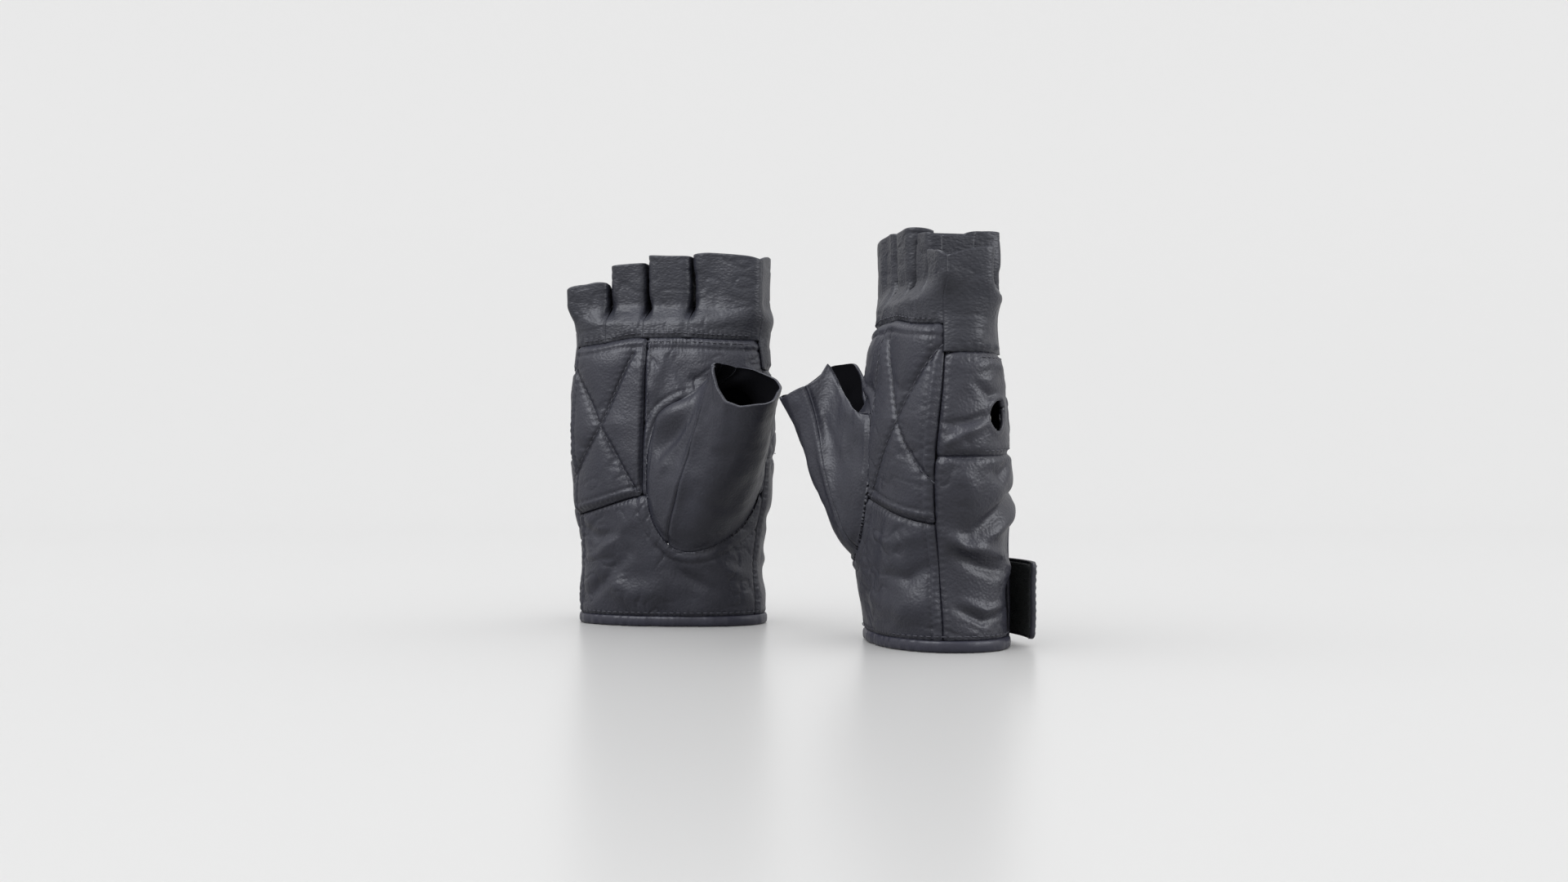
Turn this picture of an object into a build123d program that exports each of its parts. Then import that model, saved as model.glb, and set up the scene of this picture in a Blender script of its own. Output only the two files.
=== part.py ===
"""A pair of fingerless leather gloves: a right glove and its mirror image, standing on their cuffs.

Each glove is modelled once as a right glove in its own frame: +Z from the cuff to the fingers, the palm
towards -Y, the thumb towards +X and the little finger towards -X. The pair is then placed in the row frame.
All sizes are in millimetres.
"""

from build123d import *
from functools import cache
from math import copysign, cos, hypot, radians, sin
import os

# ---------------------------------------------------------------- driving dimensions
LEATHER = 1.2  # thickness of one layer of glove leather
GAP = 0.1  # half of the slit between two panels that are sewn together
HEM = 5.0  # height of the cuff binding
SEAM_Y = -8.0  # the side seams between palm and back lie in this plane
HEEL_TOP = 56.0  # seam between the heel of the palm and the padded palm
BACK_TOP = 78.0  # seam between the back of the hand and the knuckle band
BAND_TOP = 116.0  # seam between the knuckle band and the finger backs
PALM_TOP = 128.0  # seam between the palm and the finger fronts
CROTCH = 144.0  # where the finger sleeves part
QUILT_X = -7.5  # stitch line between the quilted pad and the palm centre
CUT = 120.0  # size of the blocks that cut the panels out of the forms

# The hand form: height, half width, depth to the palm, depth to the back.
STATIONS = (
    (0, 43.0, 26.5, 27.5),
    (12, 42.7, 28.0, 28.0),
    (26, 41.5, 28.0, 27.8),
    (44, 43.5, 27.2, 27.5),
    (60, 46.5, 27.5, 29.3),
    (80, 48.0, 27.5, 27.0),
    (100, 47.3, 26.5, 25.0),
    (118, 46.0, 25.3, 23.0),
    (130, 45.0, 22.0, 22.0),
    (CROTCH, 46.8, 16.5, 22.8),
)
ROUND = 2.3  # superellipse power of the hand form
SQUARE = 3.2  # the same at the crotches, where the form takes in four sleeves
SECTION_POINTS = 28

# Finger sleeves: centre x, centre y, half width, half depth, top.
FINGERS = {
    "index": (26.5, 1.0, 16.6, 16.0, 168.0),
    "middle": (-0.6, 4.0, 8.8, 16.5, 166.0),
    "ring": (-19.8, 5.5, 8.6, 15.5, 162.5),
    "little": (-38.0, 2.0, 8.4, 13.0, 156.5),
}
SLEEVE_ROUND = 2.6  # superellipse power of a sleeve
GUSSET_BACK = 6.5  # a gusset runs from the side seams to this far behind the middle of its sleeves
FINGER_GAP = 5.0  # the finger fronts start this far above the palm, so that they can fold
DECK = 1.2  # leather between the sleeves at the crotches

# Thumb sleeve: section centres, their across and outward directions, and half sizes.
THUMB_SECTIONS = (
    ((19.5, -19.5, 68), (0.966, 0.26, 0), (0.26, -0.966, 0), 25.0, 34.5),
    ((26, -31.5, 85), (0.9, 0.39, -0.19), (0.38, -0.84, 0.4), 21.5, 23.5),
    ((39.5, -34, 106.5), (0.88, 0.3, -0.36), (0.4, -0.5, 0.77), 15.2, 16.5),
)
THUMB_PIVOT = (19, -20, 67)
THUMB_SWING = 10.0  # degrees each way
THUMB_SEAM_POINT = (4.5, 0, 36)  # the seam along the thumb starts at this corner
THUMB_SEAM_NORMAL = (0.963, 0, -0.274)
WEB_TOP = 93.0  # the small gusset in the web of the thumb starts here

# The opening in the back of the wrist, and the strap across it.
VENT_HALF = 16.0
VENT_STRAIGHT = 42.0  # height where its arched top starts
VENT_TOP = 61.0
PIPING = 2.8  # width of the binding round the opening
PIPING_OUT = 0.8  # how far a binding stands out of the leather
STRAP_Z = (5.5, 36.0)
STRAP_X = (-29.0, 22.5)
STRAP_HINGE = (23.0, 27.5)
STRAP_AT_REST = 6.5  # degrees that the strap stands open
STRAP_INNER, STRAP_OUTER = 2.5, 4.2  # how far the closed strap stands off the leather
TAPE_INNER, TAPE_X = 1.4, (-27.0, 2.0)
ANCHOR_X, ANCHOR_OUTER = (19.6, 33.0), 2.2  # the leather that the root of the strap is sewn on
TAB_X, TAB_OUTER, TAB_INNER = (-25.0, 4.0), 2.1, 3.3  # the tab under the strap, sewn inside the cuff
PATCH_X, PATCH_OUTER = (-12.5, 3.0), 0.9  # hook tape on the tab
TAPE_MARGIN = 2.0  # tapes and the tab end this far inside the edges of the strap

# Knuckle holes: centre x, direction of the hole in degrees from +X, half width, half height.
KNUCKLE_Z = 93.0
KNUCKLES = ((-41.5, 138.0, 4.6, 5.6), (-19.5, 101.0, 5.4, 6.0), (4.0, 89.0, 5.6, 6.2), (26.5, 74.0, 5.4, 6.0))

# Stitches: length, pitch and thread radius.
STITCH, PITCH, THREAD = 2.4, 3.6, 0.3
STITCH_INSET = 1.6  # from the edge of the strap to its stitches
CUFF_TURNS = ((120, 395),)  # round the cuff, from the back opening to the anchor of the strap
QUILT_LINES = (
    ((-44.0, 118.0), (-28.0, 90.0)),
    ((-28.0, 90.0), (-10.5, 61.0)),
    ((-14.0, 122.0), (-28.0, 90.0)),
    ((-28.0, 90.0), (-43.5, 66.0)),
    ((QUILT_X - 1.5, 125.0), (QUILT_X - 1.5, 98.0)),
)

# Where the two gloves stand in the row frame: x, y and turn in degrees.
RIGHT_PLACE = (-51.661, 51.554, -10.0)
LEFT_PLACE = (60.339, -42.446, -78.0)


# ---------------------------------------------------------------- forms
def at_height(z):
    """Half width, palm depth, back depth and squareness of the hand form at a height."""
    z = min(max(z, STATIONS[0][0]), STATIONS[-1][0])
    for low, high in zip(STATIONS, STATIONS[1:]):
        if z <= high[0]:
            share = (z - low[0]) / (high[0] - low[0])
            sizes = [a + (b - a) * share for a, b in zip(low[1:], high[1:])]
            break
    start = STATIONS[-2][0]
    squareness = ROUND + (SQUARE - ROUND) * max(0.0, (z - start) / (CROTCH - start))
    return *sizes, squareness


def superellipse_point(half_x, half_y, power, centre_y, turn):
    """One point of a superellipse that is centred on x = 0, at a direction in degrees."""
    along, up = cos(radians(turn)), sin(radians(turn))
    x = half_x * copysign(abs(along) ** (2 / power), along)
    y = half_y * copysign(abs(up) ** (2 / power), up)
    return x, centre_y + y


def superellipse(half_x, half_y, power, centre_y):
    """Points round a superellipse that is centred on x = 0."""
    turns = [360 * i / SECTION_POINTS for i in range(SECTION_POINTS)]
    return [superellipse_point(half_x, half_y, power, centre_y, turn) for turn in turns]


def closed_face(points):
    """Fills a smooth closed line through the points, in the sketch that is open."""
    with BuildLine() as outline:
        Spline(*points, periodic=True)
    make_face(outline.edges())


@cache
def hand_form(grow=0.0, ends=0.0):
    """The solid hand form, grown or shrunk all round, and stretched past both ends by a given length."""
    with BuildPart() as form:
        for i, (z, *_) in enumerate(STATIONS):
            half, palm, back, power = at_height(z)
            shift = {0: -ends, len(STATIONS) - 1: ends}.get(i, 0)
            with BuildSketch(Plane.XY.offset(z + shift)):
                closed_face(superellipse(half + grow, (palm + back) / 2 + grow, power, (back - palm) / 2))
        loft(ruled=True)
    return form.part


@cache
def layer(outer, inner):
    """A skin of the hand form between two distances from its surface."""
    with BuildPart() as skin:
        add(hand_form(outer))
        add(hand_form(inner, ends=1.0), mode=Mode.SUBTRACT)
    return skin.part


def block(x=(-CUT, CUT), y=(-CUT, CUT), z=(-CUT, 2 * CUT)):
    """A box between the given limits, for cutting."""
    with BuildPart(mode=Mode.PRIVATE) as box:
        with Locations(((x[0] + x[1]) / 2, (y[0] + y[1]) / 2, (z[0] + z[1]) / 2)):
            Box(x[1] - x[0], y[1] - y[0], z[1] - z[0])
    return box.part


def piece(solid, keep, remove=()):
    """The part of a solid that lies in a block, less other solids."""
    with BuildPart() as cut:
        add(solid)
        add(keep, mode=Mode.INTERSECT)
        for other in remove:
            add(other, mode=Mode.SUBTRACT)
    return cut.part


def turned(solid, pivot, axis, angle):
    """A solid turned about an axis through a point."""
    return solid.rotate(Axis(pivot, axis), angle)


# ---------------------------------------------------------------- thumb
def thumb_form(shrink=0.0):
    """The solid thumb sleeve, from inside the palm to its rim."""
    with BuildPart() as form:
        for centre, across, outward, half_x, half_y in THUMB_SECTIONS:
            with BuildSketch(Plane(origin=centre, x_dir=across, z_dir=outward)):
                Ellipse(half_x - shrink, half_y - shrink)
        loft()
    return form.part


def thumb_bore():
    """The space inside the thumb sleeve, run on into the hand and out of the rim."""
    base, rim = THUMB_SECTIONS[0], THUMB_SECTIONS[-1]
    with BuildPart() as bore:
        add(thumb_form(LEATHER))
        for (centre, across, outward, half_x, half_y), length in ((base, -14.0), (rim, 6.0)):
            with BuildSketch(Plane(origin=centre, x_dir=across, z_dir=outward)):
                Ellipse(half_x - LEATHER, half_y - LEATHER)
            extrude(amount=length)
    return bore.part


def thumb_shell(bore):
    """The thumb sleeve outside the hand, with room to swing."""
    clearance = hand_form(0.4)
    with BuildPart() as shell:
        add(thumb_form())
        add(bore, mode=Mode.SUBTRACT)
        for angle in (0, THUMB_SWING, -THUMB_SWING):
            add(turned(clearance, THUMB_PIVOT, (0, 1, 0), angle), mode=Mode.SUBTRACT)
    return shell.part


def thumb_halves(shell):
    """The sleeve's outer panel, its inner panel and the gusset in the web."""
    seam = Plane(origin=THUMB_SEAM_POINT, z_dir=THUMB_SEAM_NORMAL)
    web = block(x=(-CUT, 22), z=(WEB_TOP, 2 * CUT))
    with BuildPart() as outer:
        add(shell)
        split(bisect_by=seam.offset(GAP), keep=Keep.TOP)
    with BuildPart() as inner:
        add(shell)
        split(bisect_by=seam.offset(-GAP), keep=Keep.BOTTOM)
        add(block(x=(-CUT, CUT), z=(WEB_TOP - GAP, 2 * CUT)), mode=Mode.SUBTRACT)
    with BuildPart() as gusset:
        add(shell)
        split(bisect_by=seam.offset(-GAP), keep=Keep.BOTTOM)
        add(block(x=(-CUT, CUT), z=(WEB_TOP + GAP, 2 * CUT)), mode=Mode.INTERSECT)
    return outer.part, inner.part, gusset.part


# ---------------------------------------------------------------- fingers
def sleeve(name, shrink=0.0, low=CROTCH, extra=0.0):
    """A solid finger sleeve, a little wider at its rim."""
    x, y, half_x, half_y, top = FINGERS[name]
    with BuildPart() as tube:
        for z, flare in ((low, 0.0), (top + extra, 0.4)):
            with BuildSketch(Plane(origin=(x, 0, z))):
                closed_face(superellipse(half_x - shrink + flare, half_y - shrink, SLEEVE_ROUND, y))
        loft()
    return tube.part


def finger_block(skin):
    """Everything above the palm as one shell: the top of the hand form, the deck and the sleeves."""
    with BuildPart() as shell:
        add(skin)
        add(block(z=(BAND_TOP, CROTCH)), mode=Mode.INTERSECT)
        with BuildSketch(Plane.XY.offset(CROTCH - DECK)):
            half, palm, back, power = at_height(CROTCH)
            inset = LEATHER / 2
            closed_face(superellipse(half - inset, (palm + back) / 2 - inset, power, (back - palm) / 2))
        extrude(amount=DECK)
        for name in FINGERS:
            add(sleeve(name, low=CROTCH - DECK))
        for name in FINGERS:
            add(sleeve(name, LEATHER, low=CROTCH - 3 * DECK, extra=1.0), mode=Mode.SUBTRACT)
    return shell.part


def gusset_room(names, grow=0.0):
    """The space of the gusset between two neighbouring sleeves."""
    first, second = (FINGERS[n] for n in names)
    back = (first[1] + second[1]) / 2 + GUSSET_BACK
    return block(x=(second[0], first[0]), y=(SEAM_Y - grow, back + grow), z=(CROTCH - DECK - grow, 2 * CUT))


def finger_pieces(shell):
    """Front panel, back panel and the three gussets between the sleeves."""
    names = list(FINGERS)
    pairs = list(zip(names, names[1:]))
    rooms = [gusset_room(pair, GAP) for pair in pairs]
    pieces = {
        "finger_front_panel": piece(shell, block(y=(-CUT, SEAM_Y - GAP), z=(PALM_TOP + FINGER_GAP, 2 * CUT)), rooms),
        "finger_back_panel": piece(shell, block(y=(SEAM_Y + GAP, CUT), z=(BAND_TOP + GAP, 2 * CUT)), rooms),
    }
    for first, second in pairs:
        pieces[f"{first}_{second}_gusset"] = piece(shell, gusset_room((first, second), -GAP))
    return pieces


# ---------------------------------------------------------------- back opening, binding and strap
def vent_prism(grow=0.0):
    """The opening in the back of the wrist, as a prism through the back."""
    with BuildPart() as prism:
        with BuildSketch(Plane.XZ.offset(0)):
            with Locations((0, (VENT_STRAIGHT - CUT) / 2)):
                Rectangle(2 * (VENT_HALF + grow), VENT_STRAIGHT + CUT)
            with Locations((0, VENT_STRAIGHT)):
                Ellipse(VENT_HALF + grow, VENT_TOP - VENT_STRAIGHT + grow)
        extrude(amount=-CUT / 2)
    return prism.part


def knuckle_drills():
    """The four knuckle holes as elliptical prisms, each square to the back of the hand."""
    drills = []
    for x, heading, half_x, half_z in KNUCKLES:
        half, palm, back, power = at_height(KNUCKLE_Z)
        y = (back - palm) / 2 + (palm + back) / 2 * (1 - (abs(x) / half) ** power) ** (1 / power)
        outward = (cos(radians(heading)), sin(radians(heading)), 0)
        across = (outward[1], -outward[0], 0)
        with BuildPart() as drill:
            with BuildSketch(Plane(origin=(x, y, KNUCKLE_Z), x_dir=across, z_dir=outward)):
                Ellipse(half_x, half_z)
            extrude(amount=7.0, both=True)
        drills.append(drill.part)
    return drills


def opened(solid):
    """A strap piece turned from its closed place to where it stands."""
    return turned(solid, (*STRAP_HINGE, 0), (0, 0, 1), -STRAP_AT_REST)


def strap_pieces():
    """The strap and its loop tape, its anchor, and the tab and hook tape under its free end."""
    back = (0, CUT)
    narrow = (STRAP_Z[0] + TAPE_MARGIN, STRAP_Z[1] - TAPE_MARGIN)
    strap = piece(layer(STRAP_OUTER, STRAP_INNER), block(x=STRAP_X, y=back, z=STRAP_Z))
    tape = piece(layer(STRAP_INNER - GAP, TAPE_INNER), block(x=TAPE_X, y=back, z=narrow))
    return {
        "wrist_strap": opened(strap),
        "strap_loop_tape": opened(tape),
        "strap_anchor": piece(layer(ANCHOR_OUTER, GAP), block(x=ANCHOR_X, y=back, z=STRAP_Z)),
        "closure_tab": piece(layer(-TAB_OUTER, -TAB_INNER), block(x=TAB_X, y=back, z=narrow)),
        "tab_hook_tape": piece(layer(PATCH_OUTER, GAP - TAB_OUTER), block(x=PATCH_X, y=back, z=narrow)),
    }


# ---------------------------------------------------------------- stitches
def surface_point(x, z, off, side):
    """A point at a distance off the hand form, on its palm (side -1) or on its back (side 1)."""
    half, palm, back, power = at_height(z)
    rise = ((palm + back) / 2 + off) * (1 - (abs(x) / (half + off)) ** power) ** (1 / power)
    return Vector(x, (back - palm) / 2 + side * rise, z)


def line_run(start, end, off, side):
    """Stitches along a straight line on the surface, given by its ends in x and z."""
    count = round(hypot(end[0] - start[0], end[1] - start[1]) / PITCH)
    step = [(end[i] - start[i]) / count for i in (0, 1)]
    run = []
    for i in range(count):
        here = [start[k] + step[k] * i for k in (0, 1)]
        there = [here[k] + step[k] * STITCH / PITCH for k in (0, 1)]
        run.append((surface_point(*here, off, side), surface_point(*there, off, side)))
    return run


def ring_run(z, off, turns):
    """Stitches round the cuff at one height, between two directions in degrees from +X."""
    half, palm, back, power = at_height(z)
    depth, centre = (palm + back) / 2 + off, (back - palm) / 2
    count = round(radians(turns[1] - turns[0]) * (half + depth) / 2 / PITCH)
    step = (turns[1] - turns[0]) / count
    ends = [turns[0] + step * (i + share) for i in range(count) for share in (0, STITCH / PITCH)]
    points = [Vector(*superellipse_point(half + off, depth, power, centre, t), z) for t in ends]
    return list(zip(points[::2], points[1::2]))


def threads(run):
    """A short straight thread for each stitch of a run."""
    with BuildPart() as row:
        for start, end in run:
            with Locations(Plane(origin=(start + end) / 2, z_dir=end - start)):
                Cylinder(THREAD, (end - start).length)
    return row.part


def stitch_pieces():
    """The threads on the palm, along the cuff and round the strap."""
    proud = THREAD + 0.1
    palm = [stitch for ends in QUILT_LINES for stitch in line_run(*ends, proud, -1)]
    palm += line_run((-38, PALM_TOP - 2), (38, PALM_TOP - 2), proud, -1)
    cuff = [stitch for turns in CUFF_TURNS for stitch in ring_run(HEM + 1.2, proud, turns)]
    inset = STITCH_INSET
    left, right = STRAP_X[0] + inset, STRAP_X[1] - inset
    low, high = STRAP_Z[0] + inset, STRAP_Z[1] - inset
    corners = ((left, low), (right, low), (right, high), (left, high))
    sides = zip(corners, corners[1:] + corners[:1])
    strap = [stitch for ends in sides for stitch in line_run(*ends, STRAP_OUTER + proud, 1)]
    return {
        "palm_stitching": threads(palm),
        "cuff_stitching": threads(cuff),
        "strap_stitching": opened(threads(strap)),
    }


# ---------------------------------------------------------------- the glove
def glove():
    """Every piece of a right glove in its own frame."""
    skin = layer(0, -LEATHER)
    bore = thumb_bore()
    drills = knuckle_drills()
    palm_y, back_y = (-CUT, SEAM_Y - GAP), (SEAM_Y + GAP, CUT)
    palm_z = (HEEL_TOP + GAP, PALM_TOP)
    pieces = {
        "palm_heel_panel": piece(skin, block(y=palm_y, z=(HEM + GAP, HEEL_TOP - GAP)), [bore]),
        "palm_center_panel": piece(skin, block(x=(QUILT_X + GAP, CUT), y=palm_y, z=palm_z), [bore]),
        "palm_quilt_cover": piece(skin, block(x=(-CUT, QUILT_X - GAP), y=palm_y, z=palm_z)),
        "back_hand_panel": piece(
            skin, block(y=back_y, z=(HEM + GAP, BACK_TOP - GAP)), [vent_prism(PIPING + GAP)]
        ),
        "knuckle_band": piece(skin, block(y=back_y, z=(BACK_TOP + GAP, BAND_TOP - GAP)), drills),
    }
    pad = block(x=(-CUT, QUILT_X - 2), y=(-CUT, SEAM_Y - 2), z=(HEEL_TOP + 2, PALM_TOP - 5))
    pieces["palm_foam_pad"] = piece(layer(-LEATHER - GAP, -4.0), pad)
    pieces["palm_backing"] = piece(layer(-4.0 - GAP, -4.9), pad)
    pieces.update(finger_pieces(finger_block(skin)))
    outer, inner, gusset = thumb_halves(thumb_shell(bore))
    pieces.update(thumb_outer_panel=outer, thumb_inner_panel=inner, thumb_gusset=gusset)
    roll = layer(PIPING_OUT, -LEATHER - PIPING_OUT)
    pieces["cuff_binding"] = piece(roll, block(z=(0, HEM - GAP)), [vent_prism()])
    pieces["vent_binding"] = piece(
        roll, piece(vent_prism(PIPING), block(z=(HEM + GAP, 2 * CUT))), [vent_prism()]
    )
    pieces.update(strap_pieces())
    pieces.update(stitch_pieces())
    return pieces


# ---------------------------------------------------------------- the pair
def write(side, place, pieces):
    """Stands one glove in the row frame and writes each piece as its own file."""
    x, y, turn = place
    for name, solid in pieces.items():
        with BuildPart() as node:
            with Locations(Location((x, y, 0), (0, 0, turn))):
                add(solid)
        node.part.label = f"{side}_{name}"
        export_step(node.part, f"parts/{side}_{name}.step")


def main():
    """Writes the right glove and its mirror image, the left glove."""
    os.makedirs("parts", exist_ok=True)
    right = glove()
    left = {name: mirror(solid, about=Plane.YZ) for name, solid in right.items()}
    write("right", RIGHT_PLACE, right)
    write("left", LEFT_PLACE, left)


main()
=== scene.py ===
"""The finished look of a pair of fingerless leather gloves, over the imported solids.

Each glove is shaped once as a right glove in its own frame, in millimetres: +Z from the cuff to the
fingers, the palm towards -Y and the thumb towards +X. A point of the hand is given by its direction
round the hand in degrees (0 thumb side, 90 back, 180 little-finger side, 270 palm) and its height.
"""

import math

import bpy
import mathutils
import numpy as np
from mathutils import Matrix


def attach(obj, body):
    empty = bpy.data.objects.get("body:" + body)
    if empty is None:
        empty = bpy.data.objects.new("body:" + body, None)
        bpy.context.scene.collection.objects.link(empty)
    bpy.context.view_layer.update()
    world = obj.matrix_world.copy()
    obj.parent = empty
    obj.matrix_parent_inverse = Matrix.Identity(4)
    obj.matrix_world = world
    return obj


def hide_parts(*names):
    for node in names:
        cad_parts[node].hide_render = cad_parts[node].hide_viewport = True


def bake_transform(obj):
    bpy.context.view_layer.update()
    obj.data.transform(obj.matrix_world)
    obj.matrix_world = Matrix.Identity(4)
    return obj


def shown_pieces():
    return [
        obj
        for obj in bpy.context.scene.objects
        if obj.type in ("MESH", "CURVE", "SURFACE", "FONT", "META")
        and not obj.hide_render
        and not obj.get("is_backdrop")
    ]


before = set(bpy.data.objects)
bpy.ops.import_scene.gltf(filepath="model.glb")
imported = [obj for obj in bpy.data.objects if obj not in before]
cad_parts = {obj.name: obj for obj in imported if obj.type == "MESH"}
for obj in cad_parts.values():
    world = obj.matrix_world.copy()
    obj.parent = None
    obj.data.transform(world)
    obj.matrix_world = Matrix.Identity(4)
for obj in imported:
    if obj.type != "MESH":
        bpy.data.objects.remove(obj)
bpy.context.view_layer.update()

# ---------------- sizes, in millimetres
MM = 0.001
LEATHER = 1.2
CELL = 0.75  # spacing of the mesh
AT_HEIGHT, DEGREE = 80.0, 0.82  # panels are measured at this height, where a degree is this long
SNAP = 0.62 * CELL  # mesh points this near to a cut edge move on to it
# Heights of the seams and of the place where the fingers part.
HEM, BACK_TOP, BAND_TOP, PALM_TOP, CROTCH = 5.0, 77.5, 116.0, 129.0, 144.0
HEEL_LOW, HEEL_CLIMB = 49.5, 9.5  # seam over the heel of the palm: its low end and its climb
UNDER_HEM = 1.4  # the leather reaches this far down into the cuff binding
SEAM_Y = -8.0  # side seams between palm and back
SEAM_SWAY = 4.5  # how far the one at the little finger sways towards the palm
BAND = 4.6  # width of the flat band along a felled seam
QUILT_X = -7.0  # vertical stitch line of the palm
STATIONS = np.array([
    # height, half width, depth to the palm, depth to the back
    (0, 43.0, 24.8, 27.5),
    (12, 42.7, 26.6, 28.0),
    (26, 41.5, 27.6, 27.8),
    (44, 43.5, 27.2, 27.5),
    (60, 46.5, 27.5, 29.3),
    (80, 48.0, 27.5, 27.0),
    (100, 47.3, 25.2, 25.0),
    (118, 46.0, 23.2, 23.0),
    (130, 45.6, 19.5, 22.0),
    (CROTCH, 47.6, 16.5, 22.8),
])
ROUND = 2.3  # superellipse power of the hand's outline
BALL_RISE = 6.0  # how far the ball of the thumb stands out
BALL_AT, BALL_SIZE = (17.0, 48.0), (24.0, 20.0)  # its centre and spread, in x and height
# Finger sleeves from the thumb side: centre x and y, half width, half depth, top.
FINGERS = (
    (28.0, 2.3, 15.8, 14.7, 168.0),
    (1.3, 4.0, 10.1, 16.0, 168.2),
    (-18.4, 5.5, 8.8, 15.3, 165.0),
    (-38.0, 0.2, 10.2, 11.3, 155.5),
)
FINGER_GAPS = (11.8, -9.2, -27.5)  # x where neighbouring sleeves part
SLEEVE_ROUND = 6.0  # superellipse power of a sleeve
SLEEVE_FROM, SLEEVE_TO = 136.5, 146.5  # between these heights the hand turns into sleeves
WEB_HALF = 6.5  # half width of a gusset, front to back
WEB_LOW, WEB_INSET = 147.0, 2.1  # its straight walls end at this height, and start this far under the rim
# The opening in the back of the wrist: half width, top of its straight sides, top of its arch.
VENT_HALF, VENT_STRAIGHT, VENT_TOP = 16.0, 42.0, 61.0
# The bindings: half thickness and half width, and the height of the one round the cuff.
VENT_ROLL, CUFF_ROLL, CUFF_ROLL_Z = (1.05, 1.8), (1.2, 2.3), 2.4
# Knuckle holes: centre x, half width and half height.
KNUCKLES = ((-42.5, 5.0, 5.8), (-20.0, 5.5, 6.0), (4.0, 5.6, 6.2), (26.5, 5.0, 4.8))
KNUCKLE_Z = 91.5
STRAP_Z, STRAP_X = (3.5, 34.0), (-29.0, 22.5)
STRAP_HINGE, STRAP_OPEN = (23.0, 27.5), 6.5  # its axis in x and y, and degrees that it stands open
STRAP_OFF, STRAP_CURL = 4.4, 2.2  # how far it lies off the hand, and how much more at its free end

# The thumb's seam on the palm: x on the palm and height, from the lower corner round by the thumb side.
THUMB_LOOP = (
    (5.0, 37.5), (13.6, 33.8), (24.7, 36.0), (35.5, 43.5), (42.0, 54.5), (44.6, 70.0), (44.8, 86.0),
    (42.6, 99.0), (37.0, 106.5), (29.0, 107.0), (20.5, 103.0), (8.0, 99.5), (-0.5, 92.0), (-4.6, 78.0),
    (-4.8, 61.0), (-1.8, 47.5),
)
# Where each of those points ends on the thumb's rim, in degrees round the rim.
THUMB_RIM = (-148, -122, -95, -65, -38, -12, 15, 48, 82, 112, 136, 158, 172, 182, 192, 202)
RIM_CENTRE, RIM_HALF, RIM_ROUND = (42.6, -35.5), (13.8, 18.6), 3.0
# Height of the rim by degrees round it; on the left glove it has a notch towards the palm.
RIM_HEIGHTS = {
    "right": (
        (0, 103.5), (30, 107.0), (60, 112.0), (95, 115.5), (140, 117.5), (180, 117.5), (206, 117.0),
        (218, 114.0), (228, 106.0), (245, 100.0), (270, 97.5), (315, 98.5), (345, 101.5), (360, 103.5),
    ),
    "left": (
        (0, 110.0), (20, 115.5), (50, 117.0), (62, 114.5), (75, 108.0), (90, 103.0), (105, 100.0),
        (120, 98.0), (135, 95.5), (150, 91.0), (166, 89.5), (172, 98.0), (177, 113.0), (184, 115.5),
        (195, 109.5), (210, 106.0), (240, 102.0), (270, 100.5), (330, 103.0), (360, 110.0),
    ),
}
THUMB_AXIS = np.array((0.2, -0.4, 0.9))  # the way the sleeve points at its rim
SEAM_DEPTH = 1.3  # the thumb sleeve starts this far under the palm
THUMB_GRID, THUMB_CELL = (320, 92), 0.55  # points round and along the sleeve, and their spacing

# Where each glove stands: x, y and its turn in degrees.
PLACES = {"right": (-51.661, 51.554, -10.0), "left": (60.339, -42.446, -78.0)}


# ---------------- numbers and noise
def smoothstep(low, high, value):
    """0 below low, 1 above high, and smooth between them."""
    share = np.clip((value - low) / (high - low), 0, 1)
    return share * share * (3 - 2 * share)


def bell(value, width):
    """1 at 0, falling off smoothly on both sides within about the width."""
    return np.exp(-((value / width) ** 2))


def lattice_noise(a, b, cell, seed):
    """Smooth noise from -1 to 1 over two coordinates."""
    grid = np.random.default_rng(seed).uniform(-1, 1, (97, 97))
    a, b = np.asarray(a) / cell + 40, np.asarray(b) / cell + 40
    i, j = np.floor(a).astype(int), np.floor(b).astype(int)
    u, v = a - i, b - j
    u, v = u * u * (3 - 2 * u), v * v * (3 - 2 * v)

    def value(di, dj):
        return grid[(i + di) % 97, (j + dj) % 97]

    low = value(0, 0) * (1 - u) + value(1, 0) * u
    high = value(0, 1) * (1 - u) + value(1, 1) * u
    return low * (1 - v) + high * v


def to_line(a, b, line):
    """Distance from each point (a, b) to a line of straight stretches, and the share along it."""
    best = np.full(np.shape(a), 1e9)
    share = np.zeros(np.shape(a))
    for k, (p, q) in enumerate(zip(line[:-1], line[1:])):
        d = np.array(q, float) - p
        t = np.clip(((a - p[0]) * d[0] + (b - p[1]) * d[1]) / (d @ d), 0, 1)
        gap = np.hypot(a - p[0] - t * d[0], b - p[1] - t * d[1])
        share = np.where(gap < best, (k + t) / (len(line) - 1), share)
        best = np.minimum(best, gap)
    return best, share


def spline(points, count, closed=False):
    """Evenly sampled smooth curve through the points."""
    points = np.asarray(points, float)
    n = len(points)
    spans = n if closed else n - 1
    where = np.linspace(0, spans, count, endpoint=not closed)
    k = np.minimum(where.astype(int), spans - 1)
    t = (where - k)[:, None]

    def pick(i):
        return points[i % n] if closed else points[np.clip(i, 0, n - 1)]

    p0, p1, p2, p3 = pick(k - 1), pick(k), pick(k + 1), pick(k + 2)
    cubic = (3 * (p1 - p2) + p3 - p0) * t + 2 * p0 - 5 * p1 + 4 * p2 - p3
    return p1 + 0.5 * t * (p2 - p0 + t * cubic)


def run_lengths(line):
    """Distance along a line at each of its points."""
    return np.concatenate(((0,), np.cumsum(np.linalg.norm(np.diff(line, axis=0), axis=1))))


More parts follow.
